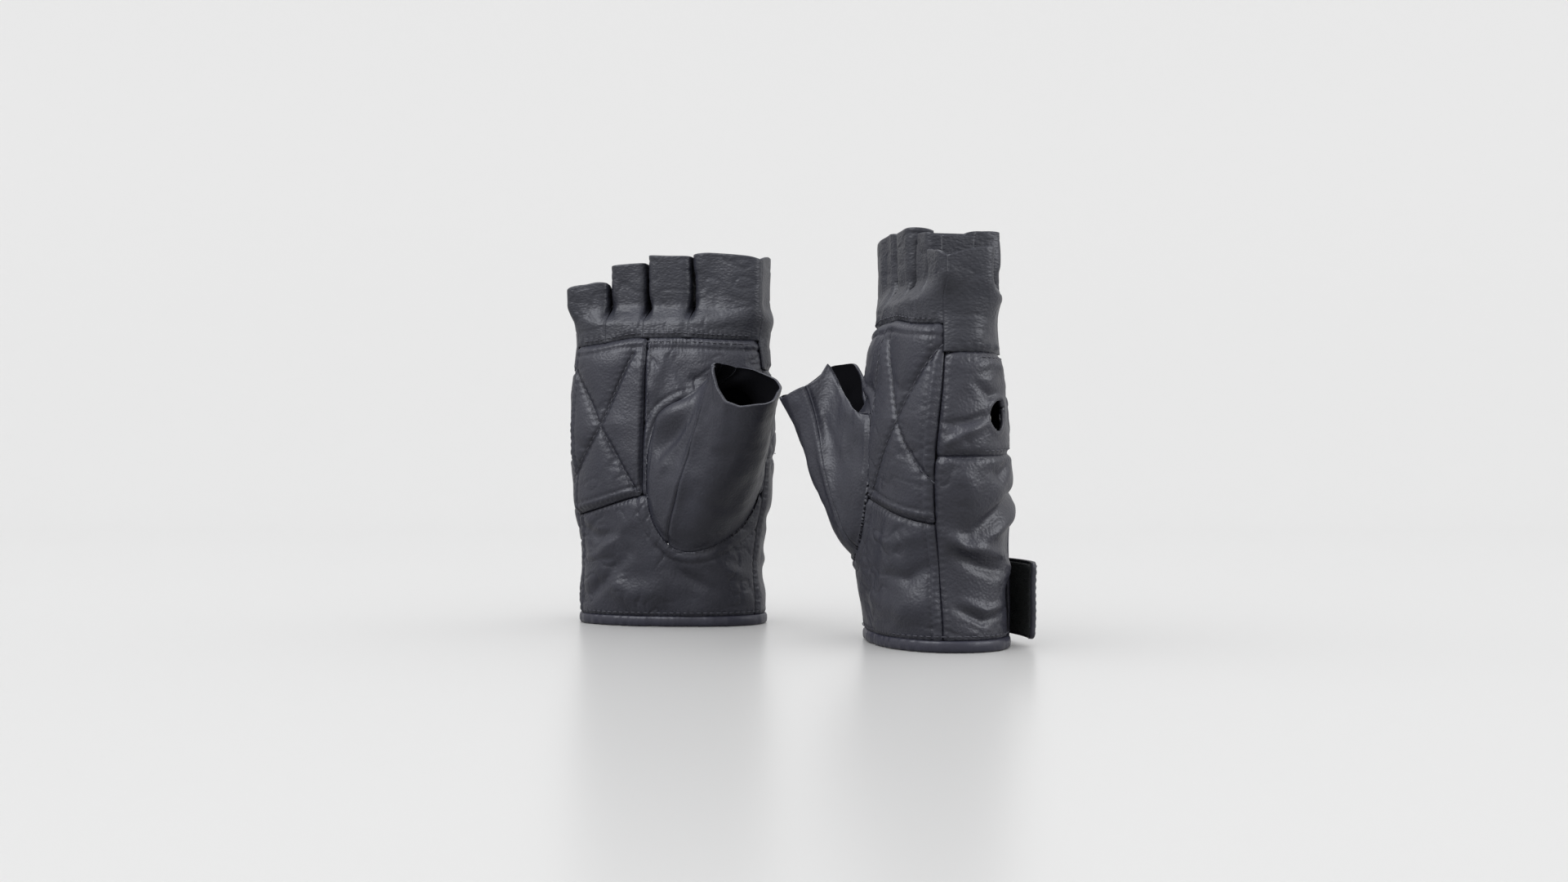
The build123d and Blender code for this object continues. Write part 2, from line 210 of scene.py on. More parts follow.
def resample(line, count):
    """Points evenly spaced along a line."""
    run = run_lengths(line)
    where = np.linspace(0, run[-1], count)
    return np.stack([np.interp(where, run, line[:, k]) for k in range(line.shape[1])], -1)


def shares(n, m):
    """Shares from 0 to 1 along the two ways of a grid."""
    return np.linspace(0, 1, n)[:, None], np.linspace(0, 1, m)[None, :]


def from_ends(n):
    """Count of steps from each of n places to the nearer end."""
    return np.minimum(np.arange(n), n - 1 - np.arange(n))


def quads(index):
    """The faces between neighbours in a grid of point numbers."""
    return np.stack([index[:-1, :-1], index[1:, :-1], index[1:, 1:], index[:-1, 1:]], -1)


def oval(turn, half_x, half_y, power):
    """x and y of a superellipse's points, in directions given in degrees."""
    c, s = np.cos(np.radians(turn)), np.sin(np.radians(turn))
    radius = (np.abs(c / half_x) ** power + np.abs(s / half_y) ** power) ** (-1 / power)
    return radius * c, radius * s


# ---------------- the hand
def stations(z):
    """Half width, palm depth and back depth of the hand at heights, smooth between the stations."""
    table = spline(STATIONS, 400)
    return [np.interp(z, table[:, 0], table[:, k]) for k in (1, 2, 3)]


def squareness(z):
    """Superellipse power of the hand's outline."""
    return ROUND + 0.9 * smoothstep(130, CROTCH, z)


def hand(turn, z):
    """Points of the hand's plain surface, which swells at the ball of the thumb."""
    half, palm, back = stations(z)
    x, y = oval(turn, half, (palm + back) / 2, squareness(z))
    y = (back - palm) / 2 + y
    across, up = (x - BALL_AT[0]) / BALL_SIZE[0], (z - BALL_AT[1]) / BALL_SIZE[1]
    swell = BALL_RISE * np.exp(-(across**2) - up**2)
    to_palm = smoothstep(0, 0.7, -np.sin(np.radians(turn)))
    return np.stack([x, y - swell * to_palm, np.broadcast_to(z, x.shape)], -1)


def surface_normal(turn, z):
    """Outward directions of the hand's plain surface."""
    base = hand(turn, z)
    out = np.cross(hand(turn + 0.5, z) - base, hand(turn, z + 0.5) - base)
    return out / np.linalg.norm(out, axis=-1, keepdims=True)


def turn_at(x, z, side):
    """Direction of the surface point at an x, on the palm (side -1) or on the back (side 1)."""
    half, palm, back = stations(z)
    depth = (palm + back) / 2
    power = squareness(z)
    y = side * depth * np.maximum(0, 1 - np.abs(x / half) ** power) ** (1 / power)
    return np.degrees(np.arctan2(y, x)) % 360


def side_tilt(z, seam_y):
    """How far below the sides a seam at depth seam_y lies, in degrees."""
    half, palm, back = stations(z)
    depth = (palm + back) / 2
    y = (seam_y - (back - palm) / 2) / depth
    x = half * (1 - np.abs(y) ** ROUND) ** (1 / ROUND)
    return np.degrees(np.arctan2(-y * depth, x))


# ---------------- folds and quilting
PALM_FOLDS = {
    # side: rows of three points in x and height, rise and width; a negative rise is a crease
    "right": (
        (-30, 22, -14, 15, 6, 17, 1.5, 6.0),
        (-14, 33, -26, 20, -36, 12, -1.3, 3.2),
        (2, 35, 10, 24, 24, 17, -1.1, 3.0),
        (20, 33, 30, 26, 38, 22, 1.0, 3.0),
        (-40, 44, -30, 40, -16, 42, -1.0, 2.6),
        (-38, 30, -28, 33, -12, 47, 0.9, 3.0),
        (-8, 120, -4, 108, 4, 99, 0.9, 4.0),
        (6, 118, 12, 110, 26, 112, -0.8, 3.0),
        (-36, 104, -30, 97, -24, 101, -0.6, 1.8),
        (-42, 84, -36, 80, -32, 84, -0.6, 1.8),
        (-24, 84, -20, 76, -22, 68, -0.5, 1.6),
    ),
    "left": (
        (-40, 22, -28, 16, -10, 18, 1.1, 5.0),
        (-42, 36, -32, 28, -20, 30, -1.0, 2.6),
        (-40, 46, -26, 42, -10, 44, 0.8, 3.0),
        (-38, 106, -30, 101, -24, 106, -0.6, 1.8),
        (-42, 80, -34, 76, -28, 80, -0.6, 1.8),
        (-8, 112, 0, 102, 6, 104, -0.9, 3.0),
    ),
}
FOLD_DEPTH = 1.6  # scales all folds
TURN_SCALE = 0.75  # millimetres of surface for one degree, near enough for folds
BACK_FOLDS = {
    # side: rows of three points in direction and height, rise and width
    "left": (
        (118, 64, 150, 58, 178, 46, -2.0, 3.0),
        (122, 58, 150, 50, 172, 42, 1.5, 3.2),
        (190, 46, 180, 41, 150, 37, 1.5, 2.6),
        (186, 38, 170, 33, 150, 30, -1.2, 2.4),
        (160, 26, 148, 31, 132, 33, 1.5, 4.5),
        (184, 17, 170, 12, 156, 14, -1.0, 1.7),
        (180, 20, 168, 16, 154, 18, 0.8, 1.6),
        (186, 72, 180, 64, 182, 56, 1.2, 4.0),
        (172, 88, 182, 84, 192, 80, 1.1, 1.8),
        (170, 92, 180, 89, 190, 88, -0.9, 1.6),
        (176, 104, 168, 99, 160, 100, -0.8, 1.8),
        (150, 74, 160, 68, 168, 70, -1.0, 2.2),
        (150, 108, 165, 112, 180, 109, 0.6, 2.0),
    ),
    "right": (
        (60, 66, 30, 58, 8, 48, -1.6, 3.0),
        (120, 64, 150, 54, 176, 44, -1.6, 3.0),
        (40, 34, 20, 28, 4, 30, 1.3, 3.4),
        (132, 36, 160, 28, 180, 32, 1.3, 3.4),
        (64, 74, 88, 70, 110, 74, -1.0, 2.2),
        (20, 100, 40, 104, 58, 100, -0.8, 2.0),
        (120, 104, 140, 108, 170, 100, -0.8, 2.0),
        (176, 20, 150, 15, 134, 18, -0.9, 1.8),
    ),
}
GATHER = 3.0  # pitch of the gathers beside a row of stitches
QUILT = (((-44.0, 119.0), (-28.0, 90.0), (-9.0, 60.0)), ((-13.0, 123.0), (-28.0, 90.0), (-44.0, 65.0)))


def gather(along):
    """The waves that a row of stitches draws into leather, from -1 to 1."""
    return np.sin(2 * np.pi * along / GATHER)


def strokes(a, b, folds, scale=1.0):
    """Total rise of a set of folds, each fading out at its ends; a is counted in scaled units."""
    total = np.zeros(np.shape(a))
    for *line, rise, width in folds:
        gap, share = to_line(a, b, np.reshape(line, (3, 2)) * (scale, 1))
        fade = np.sqrt(np.clip(np.sin(np.pi * np.clip(share, 0.04, 0.96)), 0, 1))
        total += rise * fade * bell(gap, width)
    return total


def leather_relief(turn, z, side):
    """Rise of the soft leather over the plain hand: folds, slack and fine creases."""
    seed = 11 if side == "right" else 47
    arc = np.asarray(turn) * TURN_SCALE
    slack = lattice_noise(arc, z, 17.0, seed) + 0.4 * lattice_noise(arc + z * 0.4, z, 7.0, seed + 1)
    warp = 3.0 * lattice_noise(arc, z, 9.0, seed + 2)
    crease = np.abs(lattice_noise(arc + z * 0.5 + warp, z * 1.6 - arc * 0.5 + warp, 7.5, seed + 3))
    where = smoothstep(0, 0.5, lattice_noise(arc, z, 21.0, seed + 4) + 0.2)
    slack -= 0.5 * bell(crease, 0.16) * where
    crease = np.abs(lattice_noise(arc * 0.6 - z * 0.3 + warp, z * 1.2 + arc * 0.4, 3.4, seed + 5))
    where = smoothstep(0, 0.5, lattice_noise(arc, z, 15.0, seed + 6) + 0.1)
    slack -= 0.07 * bell(crease, 0.18) * where
    x = hand(turn, z)[..., 0]
    on_palm = smoothstep(186, 196, turn) * (1 - smoothstep(344, 356, turn))
    folds = on_palm * strokes(x, z, PALM_FOLDS[side]) + strokes(arc, z, BACK_FOLDS[side], TURN_SCALE)
    return slack + FOLD_DEPTH * folds


def quilting(turn, z):
    """Rise of the padded palm between its stitch lines, gathered beside them."""
    x = hand(turn, z)[..., 0]
    gap = np.minimum(*(to_line(x, z, line)[0] for line in QUILT))
    swelling = 1.7 * (1 - np.exp(-((gap / 4.2) ** 1.3)))
    return swelling - 1.1 * bell(gap, 0.8) + 0.2 * gather(z) * bell(gap - 1.6, 1.1)


# ---------------- meshes
def add_object(name, data):
    """A new object in the scene."""
    new = bpy.data.objects.new(name, data)
    bpy.context.scene.collection.objects.link(new)
    return new


class Pieces:
    """Makes the pieces of one glove and stands them in the row frame."""

    def __init__(self, side, look):
        self.side, self.look = side, look
        x, y, turn = PLACES[side]
        c, s = math.cos(math.radians(turn)), math.sin(math.radians(turn))
        self.turn = np.array(((c, -s, 0), (s, c, 0), (0, 0, 1)))
        self.shift = np.array((x, y, 0))

    def placed(self, points):
        """Points of the right glove's own frame, in the row frame and in metres."""
        points = np.array(points, float)
        if self.side == "left":
            points = points * (-1, 1, 1)
        return (points @ self.turn.T + self.shift) * MM

    def make(self, name, shape, finish, body, slot, *nodes):
        """A piece from points, faces and slots, which hides the solids that it stands for; hand and strap
        pieces are tied to their body, the others are baked in place.
        """
        points, faces, *slots = shape
        if self.side == "left":
            faces = [face[::-1] for face in faces]
        mesh = bpy.data.meshes.new(f"{self.side}_{name}")
        mesh.from_pydata(self.placed(points).tolist(), [], faces)
        mesh.materials.append(self.look[finish])
        if slots:
            # the inner faces take the inside finish, which is near-black as painted shade
            mesh.materials.append(self.look["inside"])
            mesh.polygons.foreach_set("material_index", slots[0])
        mesh.polygons.foreach_set("use_smooth", [True] * len(mesh.polygons))
        mesh.update()
        piece = add_object(f"{self.side}_{name}_shown", mesh)
        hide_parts(*(f"{self.side}_{node}" for node in nodes or (name,)))
        RIDES[body](self, piece)
        return piece


def normals(grid):
    """Outward normals of a grid of points."""
    across = np.gradient(grid, axis=0)
    up = np.gradient(grid, axis=1)
    normal = np.cross(across, up)
    return normal / np.maximum(np.linalg.norm(normal, axis=-1, keepdims=True), 1e-9)


def shell(grids, thickness, keep=None):
    """Points, faces and slots (0 outside, 1 inside) of grids thickened inwards, with closed edges."""
    points, faces, slots = [], [], []
    base = 0
    for k, (outer, normal) in enumerate(grids):
        n, m = outer.shape[:2]
        inner = outer - normal * thickness
        points += [outer.reshape(-1, 3), inner.reshape(-1, 3)]
        mask = np.ones((n - 1, m - 1), bool) if keep is None else keep[k]
        index = np.arange(n * m).reshape(n, m) + base
        for layer, flip in ((0, False), (1, True)):
            sheet = quads(index + layer * n * m)[mask]
            faces += (sheet[:, ::-1] if flip else sheet).tolist()
            slots += [layer] * len(sheet)
        padded = np.pad(mask, 1)
        for i, j in zip(*np.nonzero(mask)):
            corners = ((i, j), (i + 1, j), (i + 1, j + 1), (i, j + 1))
            beside = ((i + 1, j), (i + 2, j + 1), (i + 1, j + 2), (i, j + 1))
            for e in range(4):
                if not padded[beside[e]]:
                    a, b = index[corners[e]], index[corners[(e + 1) % 4]]
                    faces.append([b, a, a + n * m, b + n * m])
                    slots.append(0)
        base += 2 * n * m
    return np.concatenate(points), faces, slots


def snapped(outer, a, b, hole, on_hole, inside):
    """Moves the points next to a hole's edge on to it, and masks the faces inside it."""
    gap = np.hypot(a[..., None] - hole[:, 0], b[..., None] - hole[:, 1])
    near, gap = gap.argmin(-1), gap.min(-1)
    outer = np.where((gap < SNAP)[..., None], on_hole[near], outer)
    hidden = inside & (gap >= SNAP)
    return outer, ~(hidden[:-1, :-1] | hidden[1:, :-1] | hidden[1:, 1:] | hidden[:-1, 1:]), gap


def edge_tuck(n, m, depth, reach=1.5, cell=CELL):
    """How far a panel's surface dips towards its sewn edges."""
    u, v = from_ends(n)[:, None] * cell * n / (n - 1), from_ends(m)[None, :] * cell * m / (m - 1)
    return depth * (bell(u, reach) + bell(v, reach))


def pucker(n, m, depth=0.17):
    """Small gathers of the leather between the stitches along a panel's seams."""
    u, v = np.arange(n)[:, None] * CELL, np.arange(m)[None, :] * CELL
    near_ends = bell(np.minimum(v, v[:, ::-1]) - 2.0, 1.3)
    near_sides = bell(np.minimum(u, u[::-1]) - 2.0, 1.3)
    return depth * (gather(u) * near_ends + gather(v) * near_sides)


def felled(n, m, edges):
    """Rise of the flat bands that are sewn down along some edges of a panel."""
    u, v = np.arange(n)[:, None] * CELL, np.arange(m)[None, :] * CELL
    away = {"first": u, "last": u[::-1], "low": v, "high": v[:, ::-1]}
    along = {"first": v, "last": v, "low": u, "high": u}
    rise = np.zeros((n, m))
    for edge in edges:
        groove = (0.75 + 0.25 * gather(along[edge])) * bell(away[edge] - BAND, 0.65)
        rise = rise + 0.35 * (1 - smoothstep(BAND - 1.4, BAND, away[edge])) - 0.7 * groove
    return rise


def hand_grid(side, turns, heights, extra=None, tuck=1.1, lift=0.0, slack=1.0, bands=()):
    """Grid of a panel between two directions and two heights, each given as a function of the other."""
    first, last = turns[0](AT_HEIGHT), turns[1](AT_HEIGHT)
    n = int(abs(last - first) * DEGREE / CELL)
    middle = (first + last) / 2
    m = int((heights[1](middle) - heights[0](middle)) / CELL)
    u, v = shares(n, m)
    z = np.full((n, m), AT_HEIGHT)
    for _ in range(3):
        turn = turns[0](z) * (1 - u) + turns[1](z) * u
        z = heights[0](turn) * (1 - v) + heights[1](turn) * v
    plain = hand(turn, z)
    rise = lift + slack * leather_relief(turn, z, side)
    if extra is not None:
        rise = rise + extra(turn, z)
    hold = 1 - 0.8 * edge_tuck(n, m, 1.0, 2.2).clip(0, 1)
    rise = rise * hold - edge_tuck(n, m, tuck) + pucker(n, m) + felled(n, m, bands)
    return turn, z, plain + normals(plain) * rise[..., None]


def level(value):
    """A seam at one height or direction."""
    return lambda at: np.full(np.shape(at), float(value))


# ---------------- palm
def heel_seam(turn):
    """Height of the seam over the heel of the palm: it rises from the little finger to the thumb."""
    return HEEL_LOW + HEEL_CLIMB * smoothstep(188, 262, turn)


def palm_seam(turn):
    """Height of the seam under the finger fronts, arched over the palm's middle."""
    return PALM_TOP - 2.0 + 3.2 * smoothstep(195, 240, turn) - 1.2 * smoothstep(290, 340, turn)


def quilt_edge(z):
    """Direction of the vertical stitch line."""
    z = np.asarray(z, float)
    return turn_at(np.full(z.shape, QUILT_X), z, -1)


def ulnar_edge(z):
    """Direction of the side seam at the little finger, which sways towards the palm half way up."""
    z = np.asarray(z, float)
    return 180 + side_tilt(z, SEAM_Y - SEAM_SWAY * bell(z - 68, 34))


def radial_edge(z):
    """Direction of the side seam at the thumb side."""
    return 360 - side_tilt(np.asarray(z, float), SEAM_Y)


LOOP = spline(THUMB_LOOP, THUMB_GRID[0], closed=True)


def inside_loop(x, z):
    """Whether palm points lie inside the thumb's seam."""
    inside = np.zeros(np.shape(x), bool)
    for (ax, az), (bx, bz) in zip(LOOP, np.roll(LOOP, -1, axis=0)):
        crosses = (az > z) != (bz > z)
        inside ^= crosses & (x < (bx - ax) * (z - az) / (bz - az + 1e-12) + ax)
    return inside


def with_thumb_hole(turn, z, outer):
    """Leaves the faces inside the thumb's seam out, and sews the leather down round it."""
    x = hand(turn, z)[..., 0]
    on_loop = hand(turn_at(LOOP[:, 0], LOOP[:, 1], -1), LOOP[:, 1])
    outer, mask, away = snapped(outer, x, z, LOOP, on_loop, inside_loop(x, z))
    rise = 0.4 * bell(away - 2.6, 1.4) - 0.8 * bell(away, 1.2)
    rise -= 0.6 * bell(away - 5.2, 0.7) * (0.75 + 0.25 * gather(x + z))
    rise = np.where(away < SNAP, 0.0, rise)
    return outer + normals(hand(turn, z)) * rise[..., None], mask


def palm_pieces(glove):
    """Heel, palm centre, quilted pad and its backing."""
    side = glove.side
    for name, turns, heights, bands in (
        ("palm_heel_panel", (ulnar_edge, radial_edge), (level(HEM - UNDER_HEM), heel_seam), ("first",)),
        ("palm_center_panel", (quilt_edge, radial_edge), (heel_seam, palm_seam), ("high",)),
    ):
        turn, z, outer = hand_grid(side, turns, heights, bands=bands)
        outer, mask = with_thumb_hole(turn, z, outer)
        parts = shell([(outer, normals(outer))], LEATHER, [mask])
        glove.make(name, parts, "smooth", "hand", "smooth_leather")
    edges = (ulnar_edge, quilt_edge), (heel_seam, palm_seam)
    cover = hand_grid(side, *edges, quilting, slack=0.6, bands=("first", "low", "high"))[2]
    parts = shell([(cover, normals(cover))], LEATHER)
    nodes = ("palm_quilt_cover", "palm_foam_pad")
    piece = glove.make("palm_quilt_cover", parts, "smooth", "hand", "quilt_leather", *nodes)
    lining = hand_grid(side, *edges, tuck=0, lift=-4.4, slack=0.4)[2]
    parts = shell([(lining, normals(lining))], 0.8)
    glove.make("palm_backing", parts[:2], "inside", "hand", "backing_cloth")


# ---------------- back
def back_seam(turn):
    """Height of the seam under the knuckle band, arched over the back."""
    return BACK_TOP - 2.0 + 4.0 * bell(np.asarray(turn) - 90, 55)


def radial_back(z):
    """Direction of the thumb-side seam, counted so that the back runs on from it."""
    return radial_edge(z) - 360


def vent_outline(grow=0.0, low=HEM - 1.0, count=240):
    """The arched opening in the back of the wrist: x and height, from the thumb side over the top."""
    half, rise = VENT_HALF + grow, VENT_TOP - VENT_STRAIGHT + grow
    arch = [(half * math.cos(a), VENT_STRAIGHT + rise * math.sin(a)) for a in np.linspace(0, math.pi, 25)]
    return resample(np.array([(half, low), *arch, (-half, low)]), count)


def arc_length(turn):
    """Distance round the hand at the knuckles, from direction 0."""
    dense = np.linspace(-30, 220, 1000)
    line = hand(dense, np.full(1000, KNUCKLE_Z))
    return np.interp(turn, dense, run_lengths(line))


def back_hand(glove):
    """Back of the hand, cut away for the opening at the wrist."""
    turn, z, outer = hand_grid(glove.side, (radial_back, ulnar_edge), (level(HEM - UNDER_HEM), back_seam))
    plain = hand(turn, z)
    on_back = (turn > 20) & (turn < 160)
    x = np.where(on_back, plain[..., 0], 99.0)
    grow = 1.2
    hole = vent_outline(grow)
    edge = hand(turn_at(hole[:, 0], hole[:, 1], 1), hole[:, 1])
    inside = (np.abs(x) < VENT_HALF + grow) & (z < VENT_STRAIGHT)
    rise = VENT_TOP - VENT_STRAIGHT + grow
    inside |= (x / (VENT_HALF + grow)) ** 2 + ((z - VENT_STRAIGHT) / rise) ** 2 < 1
    outer, mask, _ = snapped(outer, x, z, hole, edge, inside & (z < VENT_TOP + 2))
    parts = shell([(outer, normals(plain))], LEATHER, [mask])
    glove.make("back_hand_panel", parts, "grain", "hand", "grained_leather")


def knuckle_band(glove):
    """Band across the knuckles with its four oval holes."""
    turn, z, outer = hand_grid(glove.side, (radial_back, ulnar_edge), (back_seam, level(BAND_TOP)))
    plain = hand(turn, z)
    out = normals(plain)
    arc = arc_length(turn)
    dense = np.linspace(-30, 220, 1000)
    spin = np.linspace(0, 2 * np.pi, 90, endpoint=False)
    mask = np.ones((turn.shape[0] - 1, turn.shape[1] - 1), bool)
    for x, half_x, half_z in KNUCKLES:
        centre = arc_length(turn_at(np.array(x), np.array(KNUCKLE_Z), 1))
        lump = 1 + 0.05 * np.sin(3 * spin + x)
        ring = (centre + half_x * lump * np.cos(spin), KNUCKLE_Z + half_z * lump * np.sin(spin))
        edge = hand(np.interp(ring[0], arc_length(dense), dense), ring[1])
        edge = edge + 0.5 * (edge - (0, 0, KNUCKLE_Z)) / 45
        inside = ((arc - centre) / half_x) ** 2 + ((z - KNUCKLE_Z) / half_z) ** 2 < 1
        outer, cut, gap = snapped(outer, arc, z, np.stack(ring, -1), edge, inside)
        lip = 0.7 * bell(gap - 1.2, 1.3) * (gap > SNAP)
        outer = outer + out * lip[..., None]
        mask &= cut
    parts = shell([(outer, out)], LEATHER, [mask])
    glove.make("knuckle_band", parts, "grain", "hand", "grained_leather")


# ---------------- fingers
def sleeve_turn(finger, y, side):
    """Direction in a sleeve's outline of depth y, on its thumb side (1) or the other (-1)."""
    _, centre, half_x, half_y, _ = finger
    rise = (y - centre) / half_y
    x = side * half_x * max(0.0, 1 - abs(rise) ** SLEEVE_ROUND) ** (1 / SLEEVE_ROUND)
    return math.degrees(math.atan2(rise * half_y, x)) % 360


def sleeve_point(finger, turn, z):
    """Points of a sleeve's outline, flared a little towards its rim."""
    x, y, half_x, half_y, top = finger
    flare = 1 + 0.015 * smoothstep(CROTCH + 4, top, z)
    across, deep = oval(turn, half_x, half_y, SLEEVE_ROUND)
    return np.stack([x + flare * across, y + flare * deep, z + 0 * across], -1)


def web_depth(k):
    """Centre depth of the gusset between sleeves k and k + 1."""
    return (FINGERS[k][1] + FINGERS[k + 1][1]) / 2


def sleeve_edges(k, side):
    """Where half a sleeve begins and ends: directions in its outline, and the seams under them."""
    finger = FINGERS[k]
    depth = [SEAM_Y if not 0 <= g < 3 else web_depth(g) + side * WEB_HALF for g in (k - 1, k)]
    ends = [sleeve_turn(finger, depth[0], 1), sleeve_turn(finger, depth[1], -1)]
    under = []
    for edge, gap in ((k - 1, 1), (k, -1)):
        if 0 <= edge < 3:
            under.append(lambda z, e=edge: turn_at(np.full(np.shape(z), FINGER_GAPS[e]), z, side))
        else:
            under.append(radial_edge if gap > 0 else ulnar_edge)
    if side > 0:
        ends[0] = ends[0] if ends[0] < 180 else ends[0] - 360
        if k == 0:
            under[0] = radial_back
    if side < 0:
        ends, under = ends[::-1], under[::-1]
        ends[1] = ends[1] if ends[1] > 180 else ends[1] + 360
    return ends, under


def finger_grid(k, side, base):
    """Front (side -1) or back (side 1) of one sleeve, from the seam below up to its rim."""
    finger = FINGERS[k]
    ends, under = sleeve_edges(k, side)
    low_z = PALM_TOP if side < 0 else BAND_TOP
    n = int(max(30, 1.55 * finger[2] * 2 / CELL))
    m = int((finger[4] - low_z) / CELL)
    u, v = shares(n, m)
    turn = ends[0] + (ends[1] - ends[0]) * u
    top = finger[4] + 0.7 * np.sin(np.radians(turn * 2 + 70 * k))
    top = top + 0.4 * lattice_noise(turn / 9, k * 9.0, 3, 5) - 1.8 * np.abs(2 * u - 1) ** 4
    floor = np.full(turn.shape, 150.0)
    below = under[0](floor) * (1 - u) + under[1](floor) * u
    low = base(below)
    z = low * (1 - v) + top * v
    below = under[0](z) * (1 - u) + under[1](z) * u
    blend = smoothstep(SLEEVE_FROM, SLEEVE_TO, z)[..., None]
    return hand(below, z) * (1 - blend) + sleeve_point(finger, turn, z) * blend, z


def finger_relief(side, plain, z, k):
    """Slack of the finger leather: creases, a pleat under each slot, and gathers over the seam."""
    arc = plain[..., 0] * 1.3 + plain[..., 1] * 0.6
    slack = 0.7 * lattice_noise(arc, z, 11.0, 60 + k)
    crease = np.abs(lattice_noise(arc * 0.5 + 3 * k, z * 1.1, 5.0, 62 + k + (side == "left") * 9))
    slack -= 0.3 * bell(crease, 0.16)
    for gap in FINGER_GAPS:
        pleat = bell(plain[..., 0] - gap - 0.25 * (z - 140), 1.5)
        slack = slack - pleat * smoothstep(129, 139, z) * (1 - smoothstep(146, 152, z))
    above = z - z[:, :1]
    gathers = 0.3 * gather(arc) * bell(above - 2.2, 1.3)
    return slack * (1 - bell(above, 3.0)) - bell(above, 1.4) + gathers


def finger_pieces(glove):
    """Front panel, back panel and gussets of the four sleeves."""
    for name, side, base, slot in (
        ("finger_front_panel", -1, palm_seam, "finger_leather"),
        ("finger_back_panel", 1, level(BAND_TOP), "grained_leather"),
    ):
        grids = []
        for k in range(4):
            plain, z = finger_grid(k, side, base)
            rise = finger_relief(glove.side, plain, z, k)
            out = normals(plain)
            rise = rise * (1 - bell(from_ends(len(plain))[:, None] * CELL, 3))
            grids.append((plain + out * rise[..., None], out))
        parts = shell(grids, LEATHER)
        glove.make(name, parts, "finger", "fingers", slot)
    names = ("index_middle_gusset", "middle_ring_gusset", "ring_little_gusset")
    for k, name in enumerate(names):
        grid = gusset_grid(k)
        parts = shell([(grid, normals(grid))], LEATHER * 0.8)
        glove.make(name, parts, "finger", "fingers", "finger_leather")


def gusset_grid(k):
    """The strip between two sleeves: down one wall, round the crotch and up the other."""
    centre = web_depth(k)
    depths = np.linspace(centre + WEB_HALF, centre - WEB_HALF, 18)
    rows = []
    for y in depths:
        walls = []
        for finger, side in ((FINGERS[k], -1), (FINGERS[k + 1], 1)):
            z = np.linspace(finger[4] - WEB_INSET, WEB_LOW, 28)
            walls.append(sleeve_point(finger, sleeve_turn(finger, y, side), z))
        a, b = walls[0][-1], walls[1][-1]
        middle, half = (a + b) / 2, (a - b) / 2
        dip = 2.2 - 1.0 * ((y - centre) / WEB_HALF) ** 2
        spin = np.linspace(0, math.pi, 9)[1:-1]
        bend = [middle + half * math.cos(t) - (0, 0, dip * math.sin(t)) for t in spin]
        rows.append(np.concatenate([walls[0], bend, walls[1][::-1]]))
    return np.stack(rows, 1)


# ---------------- thumb
def thumb_rim(side, turn):
    """Points of the thumb's rim in directions round it, with their heights smoothed a little."""
    x, y = oval(turn, 1, 1, RIM_ROUND)
    heights = np.interp(turn % 360, *zip(*RIM_HEIGHTS[side]))
    around = np.concatenate((heights[-4:-1], heights, heights[1:4]))
    heights = np.convolve(around, np.full(7, 1 / 7), "valid")
    return np.stack([RIM_CENTRE[0] + RIM_HALF[0] * x, RIM_CENTRE[1] + RIM_HALF[1] * y, heights], -1)


def thumb_grid(side):
    """The whole thumb sleeve: round its seam on the palm, and out from there to its rim."""
    n, m = THUMB_GRID
    base_line = spline(THUMB_LOOP, n, closed=True)
    base_line = np.concatenate((base_line, base_line[:1]))
    share = np.linspace(0, len(THUMB_RIM), n + 1)
    round_rim = np.interp(share, range(len(THUMB_RIM) + 1), (*THUMB_RIM, THUMB_RIM[0] + 360))
    x, z = base_line[:, 0], base_line[:, 1]
    turn = turn_at(x, z, -1)
    out = surface_normal(turn, z)
    base = hand(turn, z) - SEAM_DEPTH * out
    rim = thumb_rim(side, round_rim)
    axis = THUMB_AXIS / np.linalg.norm(THUMB_AXIS)
    reach = np.linalg.norm(rim - base, axis=1, keepdims=True)
    reach = reach * (0.15 + 0.85 * smoothstep(-10, 6, rim[:, 2:] - base[:, 2:]))
    start, finish = (out * 0.28 + axis * 0.7) * reach, axis * reach * 0.9
    w = np.linspace(0, 1, m)[None, :, None]
    h00, h10 = 2 * w**3 - 3 * w**2 + 1, w**3 - 2 * w**2 + w
    h01, h11 = -2 * w**3 + 3 * w**2, w**3 - w**2
    return h00 * base[:, None] + h10 * start[:, None] + h01 * rim[:, None] + h11 * finish[:, None]


THUMB_FOLDS = {
    # side: rows of three points in place round the seam and share of the way up, rise and width
    "right": (
        (13.3, 0.12, 13.7, 0.35, 14.3, 0.6, -3.2, 0.06),
        (12.2, 0.1, 12.6, 0.35, 13.3, 0.6, 2.0, 0.06),
        (11.2, 0.1, 11.5, 0.4, 12.0, 0.7, -3.0, 0.07),
        (14.5, 0.15, 14.9, 0.4, 15.3, 0.6, -1.2, 0.06),
        (1.2, 0.2, 1.5, 0.5, 1.2, 0.8, 0.9, 0.07),
        (3.0, 0.25, 2.6, 0.5, 3.2, 0.75, -0.9, 0.06),
        (4.6, 0.2, 4.2, 0.4, 4.4, 0.6, -0.8, 0.06),
    ),
    "left": (
        (13.2, 0.12, 13.6, 0.3, 14.2, 0.5, -2.0, 0.09),
        (11.4, 0.1, 11.6, 0.25, 11.9, 0.4, -1.5, 0.09),
        (14.6, 0.2, 15.0, 0.5, 15.2, 0.8, -1.2, 0.07),
        (0.8, 0.3, 1.2, 0.6, 1.0, 0.9, 0.9, 0.06),
        (3.0, 0.3, 2.6, 0.6, 3.2, 0.9, -0.9, 0.06),
    ),
}
FOLD_SCALE = 0.12  # makes places round the seam comparable with shares of the way up
